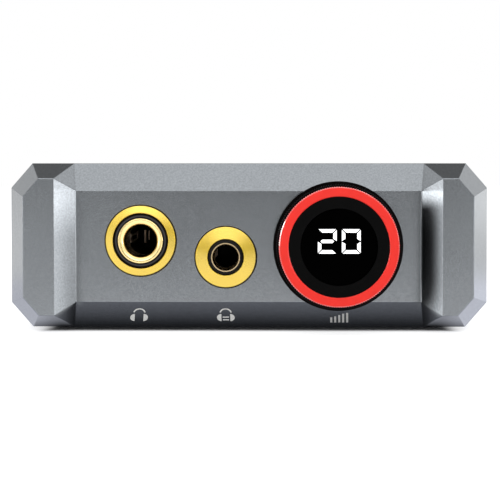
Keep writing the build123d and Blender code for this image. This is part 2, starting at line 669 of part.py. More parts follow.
def knob_shell():
    """Black knob: skirt, knurled barrel and a web that grips the rotor."""
    barrel_front = KNOB_FRONT + RING_HEIGHT
    shell = bar(KNOB_X, KNOB_Z, (KNOB_BACK - SKIRT_HEIGHT, KNOB_BACK), SKIRT_R)
    shell += knurled((barrel_front, KNOB_BACK - SKIRT_HEIGHT), BARREL_R)
    outside = BARREL_R + BARREL_EDGE
    shell -= turned(KNOB_X, KNOB_Z, [(BARREL_R - BARREL_EDGE, barrel_front), (outside, barrel_front),
                                     (outside, barrel_front + 2 * BARREL_EDGE)])
    shell -= bar(KNOB_X, KNOB_Z, (barrel_front, RING_SEAT), RING_SPIGOT_R)
    shell += ring(KNOB_X, KNOB_Z, (FACE_BACK, RING_SEAT), RING_INNER_R - FACE_FIT, LEDGE_R)
    shell -= bar(KNOB_X, KNOB_Z, (RING_SEAT, WEB_FRONT), LEDGE_R)
    return shell - bar(KNOB_X, KNOB_Z, (WEB_FRONT, KNOB_BACK), ROTOR_R)


def knob_ring():
    """Red ring on the knob's front, knurled like the barrel, with broken edges."""
    barrel_front = KNOB_FRONT + RING_HEIGHT
    section = turned(KNOB_X, KNOB_Z,
                     [(RING_INNER_R + RING_INNER_EDGE, KNOB_FRONT), (RING_R - RING_EDGE, KNOB_FRONT),
                      (RING_R, KNOB_FRONT + RING_EDGE), (RING_R, barrel_front),
                      (RING_SPIGOT_R, barrel_front), (RING_SPIGOT_R, RING_SEAT),
                      (RING_INNER_R, RING_SEAT), (RING_INNER_R, KNOB_FRONT + RING_INNER_EDGE)])
    stock = knurled((KNOB_FRONT, barrel_front), RING_R)
    stock += bar(KNOB_X, KNOB_Z, (barrel_front, RING_SEAT), RING_SPIGOT_R)
    return section & stock


def knob_face():
    """Dark ring between the red ring and the display."""
    return ring(KNOB_X, KNOB_Z, (FACE_FRONT, FACE_BACK), RING_INNER_R - FACE_FIT,
                WINDOW_R + WINDOW_GAP)


def knob_rotor():
    """Hollow shaft that carries the knob through the bush and the encoder."""
    inner = ROTOR_R - ROTOR_WALL
    collar = BUSH_BACK + AXIAL_PLAY
    flange = CARRIAGE_BACK + AXIAL_PLAY
    return turned(KNOB_X, KNOB_Z,
                  [(inner, WEB_FRONT), (ROTOR_R, WEB_FRONT), (ROTOR_R, collar),
                   (COLLAR_R, collar), (COLLAR_R, collar + COLLAR),
                   (ROTOR_R, collar + COLLAR), (ROTOR_R, flange),
                   (ROTOR_FLANGE_R, flange), (ROTOR_FLANGE_R, ROTOR_BACK),
                   (inner, ROTOR_BACK)])


def rotor_bush():
    """Brass bush in the panel, flanged behind it."""
    bush = bar(KNOB_X, KNOB_Z, (PANEL_DEPTH, BUSH_BACK), BUSH_R)
    bush += bar(KNOB_X, KNOB_Z, (PANEL_BACK, BUSH_BACK), BUSH_FLANGE_R)
    return bush - bar(KNOB_X, KNOB_Z, (PANEL_DEPTH, BUSH_BACK), ROTOR_R + RUNNING)


def encoder_carriage():
    """Encoder body that slides back with the knob when it is pressed."""
    span = (CARRIAGE_FRONT, CARRIAGE_BACK)
    body = block((KNOB_X - CARRIAGE_HALF, KNOB_X + CARRIAGE_HALF), span,
                 (KNOB_Z - CARRIAGE_HALF, KNOB_Z + CARRIAGE_HALF))
    return body - bar(KNOB_X, KNOB_Z, span, ROTOR_R + RUNNING)


def press_switches():
    """Two small switches that the carriage pushes."""
    tip = CARRIAGE_BACK + PRESS_TRAVEL + TACT_GAP
    base = FRONT_BOARD_DEPTH - TACT_BODY
    switches = []
    for side in (-1, 1):
        x = KNOB_X + side * TACT_SPACING
        z = KNOB_Z + side * TACT_SPACING
        body = block((x - TACT_HALF, x + TACT_HALF), (base, FRONT_BOARD_DEPTH),
                     (z - TACT_HALF, z + TACT_HALF))
        switches.append(body + bar(x, z, (tip, base), TACT_PLUNGER_R))
    return group(switches)


# ---- Display ----
def display_post():
    """Fixed hollow stem through the rotor, with a cup for the display."""
    cup_floor = CUP_BACK - CUP_WALL
    post = bar(KNOB_X, KNOB_Z, (WINDOW_BACK, CUP_BACK), WINDOW_R)
    post -= bar(KNOB_X, KNOB_Z, (WINDOW_BACK, cup_floor), WINDOW_R - CUP_WALL)
    post += bar(KNOB_X, KNOB_Z, (CUP_BACK, FRONT_BOARD_DEPTH), STEM_R)
    post += bar(KNOB_X, KNOB_Z, (FRONT_BOARD_DEPTH - STEM_FOOT, FRONT_BOARD_DEPTH), STEM_FOOT_R)
    return post - bar(KNOB_X, KNOB_Z, (cup_floor, FRONT_BOARD_DEPTH), STEM_HOLE_R)


def digit_bar(name, half_w, half_h):
    """Outline of one lit bar: mitred with its long side outwards, or pointed in the middle."""
    corners = DIGIT_BARS[name]
    (x0, z0), (x1, z1) = [(sx * half_w, sz * half_h) for sx, sz in corners]
    length = math.hypot(x1 - x0, z1 - z0)
    ux, uz = (x1 - x0) / length, (z1 - z0) / length
    half = SEGMENT / 2
    inner = half + SEGMENT_GAP
    if name == "g":
        outline = [(SEGMENT_GAP, 0), (inner, half), (length - inner, half),
                   (length - SEGMENT_GAP, 0), (length - inner, -half), (inner, -half)]
    else:
        first, last = [SEGMENT_CORNER - half if sz else SEGMENT_GAP / 2 for _, sz in corners]
        outline = [(first, half), (length - last, half), (length - inner, -half), (inner, -half)]
    return [(x0 + ux * along - uz * across, z0 + uz * along + ux * across)
            for along, across in outline]


def display_digits():
    """The lit bars of a two-digit readout."""
    half_w = (DIGIT_WIDTH - SEGMENT) / 2
    half_h = (DIGIT_HEIGHT - SEGMENT) / 2
    lit = []
    for index, names in enumerate(DIGIT_SEGMENTS):
        centre = (index - 0.5) * DIGIT_PITCH
        for name in names:
            points = [(x + centre, z + DIGIT_RAISE) for x, z in digit_bar(name, half_w, half_h)]
            face = Plane.XZ * make_face(Polyline(*points, close=True))
            lit.append(at(KNOB_X, WINDOW_FRONT, KNOB_Z)
                       * extrude(face, SEGMENT_THICK, dir=(0, 1, 0)))
    return group(lit)


def display_window():
    """Black window, with the lit bars let into its front."""
    window = bar(KNOB_X, KNOB_Z, (WINDOW_FRONT, WINDOW_BACK), WINDOW_R)
    for lit in display_digits().solids():
        window -= lit
    return window


def display_module():
    """Light unit in the cup behind the window."""
    return block((KNOB_X - MODULE_HALF_WIDTH, KNOB_X + MODULE_HALF_WIDTH),
                 (WINDOW_BACK, CUP_BACK - CUP_WALL),
                 (KNOB_Z - MODULE_HALF_HEIGHT, KNOB_Z + MODULE_HALF_HEIGHT))


# ---- Rear connectors ----
def rca_barrel(x):
    """Plated sleeve of a phono socket, with a flange outside the plate."""
    tip = REAR_FACE + RCA_PROUD
    barrel = bar(x, RCA_Z, (SLEEVE_REAR - RCA_TAIL, tip), RCA_BARREL_R)
    barrel += bar(x, RCA_Z, (REAR_FACE, REAR_FACE + RCA_FLANGE), RCA_FLANGE_R)
    return barrel - bar(x, RCA_Z, (SLEEVE_REAR - RCA_TAIL, tip), RCA_BARREL_R - RCA_BARREL_WALL)


def rca_insert(x):
    """Insulating core of a phono socket."""
    return ring(x, RCA_Z, (SLEEVE_REAR - RCA_TAIL, REAR_FACE + RCA_PROUD - RCA_INSERT_SINK),
                RCA_BARREL_R - RCA_BARREL_WALL, RCA_SOCKET_R)


def rca_body(x):
    """Block that stands a phono socket on the main board."""
    span = (SLEEVE_REAR - RCA_BODY_LENGTH, SLEEVE_REAR)
    body = block((x - RCA_BODY_HALF, x + RCA_BODY_HALF), span, (BOARD_TOP, RCA_Z + RCA_BODY_HALF))
    return body - bar(x, RCA_Z, (SLEEVE_REAR - RCA_TAIL, SLEEVE_REAR), RCA_BARREL_R)


def usb_outline(x, depth_span, grow=0.0):
    """Round-ended bar of a USB-C mouth."""
    width = USB_WIDTH + 2 * grow
    height = USB_HEIGHT + 2 * grow
    low, high = depth_span
    face = Plane.XZ * SlotOverall(width, height)
    return at(x, low, USB_Z) * extrude(face, high - low, dir=(0, 1, 0))


def usb_shell(x):
    """Steel shell of a USB-C receptacle, flush with the plate."""
    span = (REAR_FACE - USB_LENGTH, REAR_FACE)
    return usb_outline(x, span) - usb_outline(x, span, -USB_SHEET)


def usb_tongue(x):
    """Moulded core of a USB-C receptacle with its contact tongue."""
    start = REAR_FACE - USB_LENGTH
    core = usb_outline(x, (start, start + USB_BACK), -USB_SHEET)
    return core + block((x - USB_TONGUE_WIDTH / 2, x + USB_TONGUE_WIDTH / 2),
                        (start + USB_BACK, REAR_FACE - USB_TONGUE_SINK),
                        (USB_Z - USB_TONGUE / 2, USB_Z + USB_TONGUE / 2))


def shutter_pin():
    """Axis of the optical shutter as (depth, z)."""
    front = REAR_FACE + OPTICAL_PROUD - SHUTTER_SINK
    return front - SHUTTER / 2, OPTICAL_Z + OPTICAL_PORT_HALF - SHUTTER_PIN_DROP


def cross_bar(half_length, radius):
    """Bar across the optical port on the shutter's axis."""
    depth, z = shutter_pin()
    return at(OPTICAL_X, depth, z) * Rot(0, 90, 0) * Cylinder(radius, 2 * half_length)


def optical_socket():
    """Optical input: body on the board and a square snout through the plate."""
    mouth = REAR_FACE + OPTICAL_PROUD
    half = OPTICAL_SNOUT_HALF
    port = OPTICAL_PORT_HALF
    socket = block((OPTICAL_X - OPTICAL_BODY_HALF, OPTICAL_X + OPTICAL_BODY_HALF),
                   (SLEEVE_REAR - OPTICAL_BODY_LENGTH, SLEEVE_REAR),
                   (BOARD_TOP, BOARD_TOP + OPTICAL_BODY_HEIGHT))
    socket += block((OPTICAL_X - half, OPTICAL_X + half), (SLEEVE_REAR, mouth),
                    (OPTICAL_Z - half, OPTICAL_Z + half))
    socket -= block((OPTICAL_X - port, OPTICAL_X + port), (mouth - OPTICAL_PORT_DEPTH, mouth),
                    (OPTICAL_Z - port, OPTICAL_Z + port))
    return socket - cross_bar(port + SHUTTER_PIN_END + SEAT_GAP, SHUTTER_PIN_R + RUNNING)


def optical_shutter():
    """Sprung flap that closes the optical port."""
    depth, z = shutter_pin()
    half = OPTICAL_PORT_HALF - SHUTTER_GAP
    flap = block((OPTICAL_X - half, OPTICAL_X + half), (depth - SHUTTER / 2, depth + SHUTTER / 2),
                 (OPTICAL_Z - half, z))
    return flap + cross_bar(OPTICAL_PORT_HALF + SHUTTER_PIN_END, SHUTTER_PIN_R)


def switch_slot(depth_span):
    """Slot in which the slider travels."""
    half = (SWITCH_TRAVEL + SLIDER_WIDTH) / 2 + SLIDER_FIT
    rise = SLIDER_HEIGHT / 2 + SLIDER_FIT
    return block((SWITCH_X - half, SWITCH_X + half), depth_span,
                 (SWITCH_Z - rise, SWITCH_Z + rise))


def gain_switch():
    """Frame of the two-position gain switch."""
    frame = block((SWITCH_X - SWITCH_HALF_WIDTH, SWITCH_X + SWITCH_HALF_WIDTH),
                  (SLEEVE_REAR - SWITCH_LENGTH, SLEEVE_REAR),
                  (BOARD_TOP, BOARD_TOP + SWITCH_HEIGHT))
    return frame - switch_slot((SLEEVE_REAR - SLIDER_SUNK - SLIDER_FIT, SLEEVE_REAR))


def gain_slider():
    """Finger piece of the gain switch, at its low-gain end."""
    centre = SWITCH_X - SWITCH_TRAVEL / 2
    return block((centre - SLIDER_WIDTH / 2, centre + SLIDER_WIDTH / 2),
                 (SLEEVE_REAR - SLIDER_SUNK, REAR_FACE + SLIDER_PROUD),
                 (SWITCH_Z - SLIDER_HEIGHT / 2, SWITCH_Z + SLIDER_HEIGHT / 2))


# ---- Parts on the main board ----
def on_board(size, place):
    """Block of (half width, half length, height) standing on the main board."""
    half_x, half_depth, height = size
    x, depth = place
    return block((x - half_x, x + half_x), (depth - half_depth, depth + half_depth),
                 (BOARD_TOP, BOARD_TOP + height))


def shield_can():
    """Thin steel lid over the USB section."""
    half_x, half_depth, height = CAN
    hollow = (half_x - CAN_SHEET, half_depth - CAN_SHEET, height - CAN_SHEET)
    return on_board(CAN, CAN_PLACE) - on_board(hollow, CAN_PLACE)


def electrolytics():
    """Row of can capacitors."""
    return group(upright(x, depth, (BOARD_TOP, BOARD_TOP + ELECTROLYTIC_HEIGHT), ELECTROLYTIC_R)
                 for x, depth in ELECTROLYTIC_PLACES)


def all_nodes():
    """Every node's name and its shape."""
    nodes = {
        "front_shell": front_shell(), "body_sleeve": body_sleeve(), "rear_panel": rear_panel(),
        "tie_screws": tie_screws(), "feet": feet(),
        "main_board": main_board(), "front_board": front_board(),
        "board_screws": board_screws(), "board_link": board_link(),
        "big_jack_housing": big_jack_housing(), "big_jack_ferrule": big_jack_ferrule(),
        "big_jack_nut": ring_nut(BIG_JACK_X, BIG_JACK_Z, BIG_NUT_PROUD, BIG_NOSE_R, BIG_NUT_R),
        "big_jack_contacts": group(big_leaves()),
        "small_jack_housing": small_jack_housing(), "small_jack_ring": small_jack_ring(),
        "small_jack_nut": ring_nut(SMALL_JACK_X, SMALL_JACK_Z, SMALL_NUT_PROUD, SMALL_NOSE_R, SMALL_NUT_R),
        "small_jack_contacts": group(small_leaves()),
        "knob_shell": knob_shell(), "knob_ring": knob_ring(), "knob_face": knob_face(),
        "knob_rotor": knob_rotor(), "rotor_bush": rotor_bush(),
        "encoder_carriage": encoder_carriage(), "press_switches": press_switches(),
        "display_post": display_post(), "display_module": display_module(),
        "display_window": display_window(), "display_digits": display_digits(),
        "optical_socket": optical_socket(), "optical_shutter": optical_shutter(),
        "gain_switch": gain_switch(), "gain_slider": gain_slider(),
        "dac_chips": group(on_board(CHIP, place) for place in CHIP_PLACES),
        "op_amps": group(on_board(OP_AMP, place) for place in OP_AMP_PLACES),
        "oscillators": group(on_board(OSCILLATOR, place) for place in OSCILLATOR_PLACES),
        "film_capacitors": group(on_board(FILM_CAPACITOR, place) for place in FILM_PLACES),
        "inductors": group(on_board(INDUCTOR, place) for place in INDUCTOR_PLACES),
        "processor": on_board(PROCESSOR, PROCESSOR_PLACE),
        "electrolytics": electrolytics(), "shield_can": shield_can(),
    }
    for name, x in RCA_CENTRES.items():
        nodes[name + "_barrel"] = rca_barrel(x)
        nodes[name + "_insert"] = rca_insert(x)
        nodes[name + "_body"] = rca_body(x)
    for name, x in USB_CENTRES.items():
        nodes[name + "_shell"] = usb_shell(x)
        nodes[name + "_tongue"] = usb_tongue(x)
    return nodes


os.makedirs("parts", exist_ok=True)
for node, shape in all_nodes().items():
    export_step(shape, os.path.join("parts", node + ".step"))
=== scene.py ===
"""Desktop DAC and headphone amplifier: finishes, fine pieces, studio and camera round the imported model."""
import json
import math

import bmesh
import bpy
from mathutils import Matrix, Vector


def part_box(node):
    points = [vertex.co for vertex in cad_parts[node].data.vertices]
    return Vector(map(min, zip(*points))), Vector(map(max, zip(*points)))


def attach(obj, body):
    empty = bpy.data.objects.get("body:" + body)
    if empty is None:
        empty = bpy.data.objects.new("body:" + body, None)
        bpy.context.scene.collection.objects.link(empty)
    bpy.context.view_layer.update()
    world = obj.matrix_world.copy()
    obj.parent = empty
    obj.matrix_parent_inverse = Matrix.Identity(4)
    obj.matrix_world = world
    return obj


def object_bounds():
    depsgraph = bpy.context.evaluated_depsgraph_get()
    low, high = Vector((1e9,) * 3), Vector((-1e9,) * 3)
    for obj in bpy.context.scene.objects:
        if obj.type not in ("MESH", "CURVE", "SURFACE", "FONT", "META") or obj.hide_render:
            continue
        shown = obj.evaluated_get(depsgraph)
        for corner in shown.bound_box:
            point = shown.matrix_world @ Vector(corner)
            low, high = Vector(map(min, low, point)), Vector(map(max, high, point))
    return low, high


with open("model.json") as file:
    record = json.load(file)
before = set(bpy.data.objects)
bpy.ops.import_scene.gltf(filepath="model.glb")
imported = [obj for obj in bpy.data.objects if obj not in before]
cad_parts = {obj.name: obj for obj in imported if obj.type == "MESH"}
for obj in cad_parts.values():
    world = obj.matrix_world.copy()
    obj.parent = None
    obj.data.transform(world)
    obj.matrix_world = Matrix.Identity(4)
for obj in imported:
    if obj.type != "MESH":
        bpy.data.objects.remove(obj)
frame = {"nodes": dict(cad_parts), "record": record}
cad_low, cad_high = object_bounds()
nodes = frame["nodes"]

MM = 0.001
UP = (0, 0, 1)
BACKWARDS = (0, 1, 0)
RAY_LEAD = 10 * MM         # how far in front of the object a line of sight starts


# ---- Where things are, from the frame ----
def centre(node):
    """Middle of a node's box."""
    low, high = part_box(node)
    return (low + high) / 2


def outer_radius(node):
    """Half the width of a round node."""
    low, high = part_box(node)
    return (high.x - low.x) / 2


def surface_at(node, x, z):
    """Where a line straight back from (x, z) meets a node, and the surface's direction there."""
    start = Vector((x, cad_low.y - RAY_LEAD, z))
    hit, point, normal, _ = nodes[node].ray_cast(start, Vector(BACKWARDS))
    if not hit:
        raise ValueError(f"nothing of {node} at {x}, {z}")
    return point, normal


front_low, front_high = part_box("front_shell")
EAR_PLANE = front_low.y                       # flat fronts of the two ears
BODY_MIDDLE = (front_low.z + front_high.z) / 2
CASE_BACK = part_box("body_sleeve")[1].y
BIG_JACK = centre("big_jack_nut")
SMALL_JACK = centre("small_jack_nut")
KNOB = centre("knob_shell")
PANEL_FACE = surface_at("front_shell", (BIG_JACK.x + SMALL_JACK.x) / 2, BODY_MIDDLE)[0].y


# ---- Building blocks ----
def in_scene(name, data):
    """New object of the scene that shows the data."""
    thing = bpy.data.objects.new(name, data)
    bpy.context.scene.collection.objects.link(thing)
    return thing


def turned_to(direction, axis):
    """Rotation that points an object's own axis in a direction."""
    return Vector(direction).to_track_quat(axis, "Y").to_euler()


def new_material(name):
    """Node material and its tree."""
    material = bpy.data.materials.new(name)
    material.use_nodes = True
    return material, material.node_tree


def math_node(tree, operation, first, second=0.0, clamp=False):
    """One arithmetic node, fed by sockets or numbers."""
    node = tree.nodes.new("ShaderNodeMath")
    node.operation = operation
    node.use_clamp = clamp
    for slot, value in zip(node.inputs, (first, second)):
        if isinstance(value, bpy.types.NodeSocket):
            tree.links.new(value, slot)
        else:
            slot.default_value = value
    return node.outputs[0]


def in_range(tree, value, start, end, low, high, curve="LINEAR"):
    """Goes from low to high as a value goes from start to end, and stays there outside."""
    node = tree.nodes.new("ShaderNodeMapRange")
    node.interpolation_type = curve
    for key, number in (("From Min", start), ("From Max", end), ("To Min", low), ("To Max", high)):
        node.inputs[key].default_value = number
    tree.links.new(value, node.inputs["Value"])
    return node.outputs[0]


def rising(tree, value, start, end, height):
    """A smooth rise from 0 to a height as a value goes from start to end."""
    return in_range(tree, value, start, end, 0, height, "SMOOTHSTEP")


def parts_of(tree, output):
    """X, Y and Z sockets of one of Geometry's vectors."""
    geometry = tree.nodes.new("ShaderNodeNewGeometry")
    split = tree.nodes.new("ShaderNodeSeparateXYZ")
    tree.links.new(geometry.outputs[output], split.inputs[0])
    return split.outputs


def seen_directly(tree):
    """1 for camera, gloss and transmission rays, and 0 for the rest."""
    path = tree.nodes.new("ShaderNodeLightPath")
    first = math_node(tree, "ADD", path.outputs["Is Camera Ray"], path.outputs["Is Glossy Ray"])
    return math_node(tree, "ADD", first, path.outputs["Is Transmission Ray"], clamp=True)


# ---- Camera ----
CAMERA_PLACE = Vector((5.4 * MM, EAR_PLANE - 257.7 * MM, BODY_MIDDLE + 14.8 * MM))
CAMERA_AIM = Vector((3.45 * MM, EAR_PLANE, BODY_MIDDLE + 7.6 * MM))
CAMERA_LENS = 90.9
CAMERA_SHIFT = (-0.03, -0.08)
CAMERA_REACH = (0.01, 50)  # nearest and furthest that it sees, in metres


def make_camera():
    data = bpy.data.cameras.new("camera")
    data.lens = CAMERA_LENS
    data.shift_x, data.shift_y = CAMERA_SHIFT
    data.clip_start, data.clip_end = CAMERA_REACH
    camera = in_scene("camera", data)
    camera.location = CAMERA_PLACE
    camera.rotation_euler = turned_to(CAMERA_AIM - CAMERA_PLACE, "-Z")
    bpy.context.scene.camera = camera


# ---- Surroundings and floor ----
AMBIENT = 0.5              # light that the white surroundings give to matt surfaces
FLOOR_SIZE = 6.0
FLOOR_WHITE = 0.9
FLOOR_GAP = 0.02 * MM      # below the feet
# The floor's own share of white, seen directly and in gloss: each rise is by the third number
# between two distances in millimetres from the object's sides, less than 0 under it.
FLOOR_LIFTS = ((-9, -5, 0.66), (60, 300, 0.12))


def make_world():
    """White surroundings, at full strength where they are seen and softer where they light."""
    world = bpy.data.worlds.new("surroundings")
    bpy.context.scene.world = world
    world.use_nodes = True
    tree = world.node_tree
    background = tree.nodes["Background"]
    background.inputs["Color"].default_value = (1, 1, 1, 1)
    scale = math_node(tree, "MULTIPLY", seen_directly(tree), 1 - AMBIENT)
    tree.links.new(math_node(tree, "ADD", scale, AMBIENT), background.inputs["Strength"])


def stage_plane(name, middle, facing, width, height, material):
    """Flat studio surface that isn't part of the object."""
    mesh = bpy.data.meshes.new(name)
    x, y = width / 2, height / 2
    mesh.from_pydata([(-x, -y, 0), (x, -y, 0), (x, y, 0), (-x, y, 0)], [], [(0, 1, 2, 3)])
    mesh.materials.append(material)
    plane = in_scene(name, mesh)
    plane.location = middle
    plane.rotation_euler = turned_to(facing, "Z")
    return plane


def distance_from_object(tree):
    """Distance along the floor from the object's sides, less than 0 under it."""
    place = parts_of(tree, "Position")
    across = math_node(tree, "SUBTRACT", math_node(tree, "ABSOLUTE", place["X"]), cad_high.x)
    behind = math_node(tree, "SUBTRACT", place["Y"], CASE_BACK)
    before = math_node(tree, "SUBTRACT", EAR_PLANE, place["Y"])
    return math_node(tree, "MAXIMUM", across, math_node(tree, "MAXIMUM", behind, before))


def floor_material():
    """Matt white that keeps the object's shadow."""
    material, tree = new_material("floor")
    shader = tree.nodes["Principled BSDF"]
    shader.inputs["Base Color"].default_value = (FLOOR_WHITE,) * 3 + (1,)
    shader.inputs["Roughness"].default_value = 1.0
    shader.inputs["Specular IOR Level"].default_value = 0.0
    shader.inputs["Emission Color"].default_value = (1, 1, 1, 1)
    distance = distance_from_object(tree)
    lifts = [rising(tree, distance, start * MM, end * MM, height) for start, end, height in FLOOR_LIFTS]
    lift = math_node(tree, "MULTIPLY", seen_directly(tree), math_node(tree, "ADD", *lifts))
    tree.links.new(lift, shader.inputs["Emission Strength"])
    return material


def make_floor():
    stage_plane("floor", (0, 0, cad_low.z - FLOOR_GAP), UP, FLOOR_SIZE, FLOOR_SIZE, floor_material())


# ---- Lamps ----
# Name, place, width and height in metres, and how bright the face looks, with 1 as white.
LAMPS = (("right", (0.50, -0.36, 0.048), 0.32, 0.07, 5.0),
         ("left", (-0.50, -0.36, 0.048), 0.32, 0.07, 3.9),
         ("right_back", (0.42, 0.36, 0.036), 0.45, 0.07, 0.75),
         ("top", (0.0, -0.16, 0.55), 0.9, 0.30, 0.75),
         ("front", (0.0, -0.72, 0.42), 0.8, 0.24, 2.3))
LAMP_AIM = (0, EAR_PLANE, BODY_MIDDLE)
# Two lamps beside the knob light its ring and shell alone: the glints on the knurled edge
# need a strong light, which the facets would show too.
RIM_LAMPS = (("rim_left", (-0.4, KNOB.y, 0.10)),
             ("rim_right", (0.4, KNOB.y, 0.10)))
RIM_LAMP_FACE = (0.16, 0.20, 9.0)   # width, height and brightness


def softbox(name, middle, target, width, height, radiance):
    """Rectangular lamp that the camera doesn't see."""
    data = bpy.data.lights.new(name, "AREA")
    data.shape = "RECTANGLE"
    data.size = width
    data.size_y = height
    data.energy = radiance * math.pi * width * height
    lamp = in_scene(f"lamp_{name}", data)
    lamp.location = middle
    lamp.rotation_euler = turned_to(Vector(target) - Vector(middle), "-Z")
    lamp.visible_camera = False
    return lamp


def make_lamps():
    """Soft lamps for the whole object, and two for the knob's edge."""
    for name, place, *face in LAMPS:
        softbox(name, place, LAMP_AIM, *face)
    only_knob = bpy.data.collections.new("only_knob")
    only_knob.objects.link(nodes["knob_ring"])
    only_knob.objects.link(nodes["knob_shell"])
    for name, place in RIM_LAMPS:
        softbox(name, place, KNOB, *RIM_LAMP_FACE).light_linking.receiver_collection = only_knob


# ---- Cards that only reflections meet ----
# Their level is how bright they look, with 1 as white. Where a card is graded, each of its steps adds
# an amount to the level as X, Y or Z goes between two places. Steps and the oval are in millimetres,
# and the rest is in metres.
FLOOR_CARD_Z = 0.1 * MM
# Plain cards: name, place, direction, width, height and level.
CARDS = (("front", (0, -0.9, 0.085), BACKWARDS, 0.80, 0.13, 0.03),
         ("front_high", (0, -0.9, 0.30), BACKWARDS, 0.48, 0.18, 1.6),
         ("floor_front", (0.003, -0.40, FLOOR_CARD_Z), UP, 0.166, 0.46, 0.85),
         ("above", (0, 0.40, 0.45), (0, -0.7, -0.7), 1.0, 0.45, 0.26),
         ("above_right", (0.37, 0.17, 0.40), (-0.69, -0.38, -0.62), 0.26, 0.26, 1.5),
         ("above_left", (-0.37, 0.17, 0.40), (0.69, -0.38, -0.62), 0.26, 0.26, 1.18),
         ("right_high", (0.34, 0.30, 0.22), (-0.6, -0.6, -0.4), 0.25, 0.18, 1.2))

# Cards on the floor beside the object, slightly blue.
COOL = (0.90, 0.91, 1.0)
FLOOR_SIDE_X = 0.09775
FLOOR_SIDE_Y = -0.01
FLOOR_SIDE_SIZE = (0.1045, 0.11)
FLOOR_LEFT_LEVEL = 1.2
FLOOR_RIGHT_LEVEL = 1.5
FLOOR_RIGHT_STEPS = (("X", 65.0, 100.0, 0.5),)

# Cards of the same blue under the object: painted shade, standing for the floor's shadow under it in what
# the band and ears reflect.
# They darken from front to back, and those under the ears inwards too: from one distance from the middle to
# another, and by an amount.
UNDER_BAND_SIZE = (0.075, 0.118)
UNDER_BAND_LEVEL = 1.0
UNDER_BAND_STEPS = (("Y", -58.8, -54.8, -0.60), ("Y", -55.2, -49.9, -0.36))
UNDER_EAR_X = 0.0415
UNDER_EAR_SIZE = (0.008, 0.118)
UNDER_EAR_LEVEL = 1.16
UNDER_EAR_STEP = ("Y", -53.0, -48.0, -0.85)
UNDER_EAR_INWARDS = (46, 39, -0.48)

# In front of each slanted wall stand two cards back to back: the wall reflects one, and the panel the
# other. Levels are given in that order.
WALL_CARD_X = 35.9 * MM
WALL_CARD_Z = 14.75 * MM
WALL_CARD_GAP = 0.05 * MM
WALL_CARD_SIZE = (0.0062, 0.0293)
# On the right the first one is a painted reflection of the knob: a dark oval, with light above it.
BESIDE_KNOB_LEVELS = (0.01, 0.4)
BESIDE_KNOB_STEPS = (("Z", 25.5, 29.5, 3.2),)
KNOB_OVAL = (("Y", -54.5, 3.9, 2), ("Z", 16.5, 12.8, 4))   # middle, radius and power along each axis
KNOB_OVAL_RISE = (0.55, 1.60, 2.2)   # from one share of the radius to another, and the amount
# On the left the first one grows lighter towards the front and the top.
BESIDE_JACK_LEVELS = (1.15, 0.7)
BESIDE_JACK_STEPS = (("Y", -55.0, -59.5, 0.9), ("Z", 10.0, 20.0, 0.15), ("Z", 18.0, 30.0, 1.75))


def outside_oval(tree, place):
    """How far a place lies from the middle of the knob's oval, with 1 at its rim."""
    shares = []
    for axis, middle, radius, power in KNOB_OVAL:
        shift = math_node(tree, "SUBTRACT", place[axis], middle * MM)
        share = math_node(tree, "ABSOLUTE", math_node(tree, "DIVIDE", shift, radius * MM))
        shares.append(math_node(tree, "POWER", share, power))
    return math_node(tree, "SQRT", math_node(tree, "ADD", *shares))


def graded(tree, level, steps, oval):
    """A card's level after its steps, and lighter outside the knob's oval where it has one."""
    place = parts_of(tree, "Position")
    for axis, start, end, amount in steps:
        level = math_node(tree, "ADD", rising(tree, place[axis], start * MM, end * MM, amount), level)
    if oval:
        level = math_node(tree, "ADD", rising(tree, outside_oval(tree, place), *KNOB_OVAL_RISE), level)
    return math_node(tree, "MAXIMUM", level, 0)


def card_material(name, level, steps, tint, oval):
    """Surface that gives off its own level and reflects nothing."""
    material, tree = new_material(name)
    tree.nodes.clear()
    out = tree.nodes.new("ShaderNodeOutputMaterial")
    glow = tree.nodes.new("ShaderNodeEmission")
    glow.inputs["Strength"].default_value = level
    glow.inputs["Color"].default_value = tint + (1,)
    tree.links.new(glow.outputs[0], out.inputs["Surface"])
    if steps:
        tree.links.new(graded(tree, level, steps, oval), glow.inputs["Strength"])
    return material


def card(name, middle, facing, width, height, level, steps=(), tint=(1, 1, 1), oval=False):
    """Card that is met by reflections alone: it takes no light away and throws no shadow."""
    name = f"card_{name}"
    material = card_material(name, level, steps, tint, oval)
    plane = stage_plane(name, middle, facing, width, height, material)
    plane.visible_camera = False
    plane.visible_diffuse = False
    plane.visible_shadow = False


def floor_card(name, x, y, size, level, steps=()):
    """Slightly blue card on the floor."""
    card(name, (x, y, FLOOR_CARD_Z), UP, *size, level, steps, COOL)


def wall_cards(name, side, levels, steps, oval=False):
    """Graded card that a slanted wall reflects, with a plain one at its back; side is -1 or 1."""
    facing_wall, facing_panel = levels
    x = side * WALL_CARD_X
    back = side * (WALL_CARD_X - WALL_CARD_GAP)
    card(name, (x, EAR_PLANE, WALL_CARD_Z), (side, 0, 0), *WALL_CARD_SIZE, facing_wall, steps, oval=oval)
    card(f"{name}_back", (back, EAR_PLANE, WALL_CARD_Z), (-side, 0, 0), *WALL_CARD_SIZE, facing_panel)


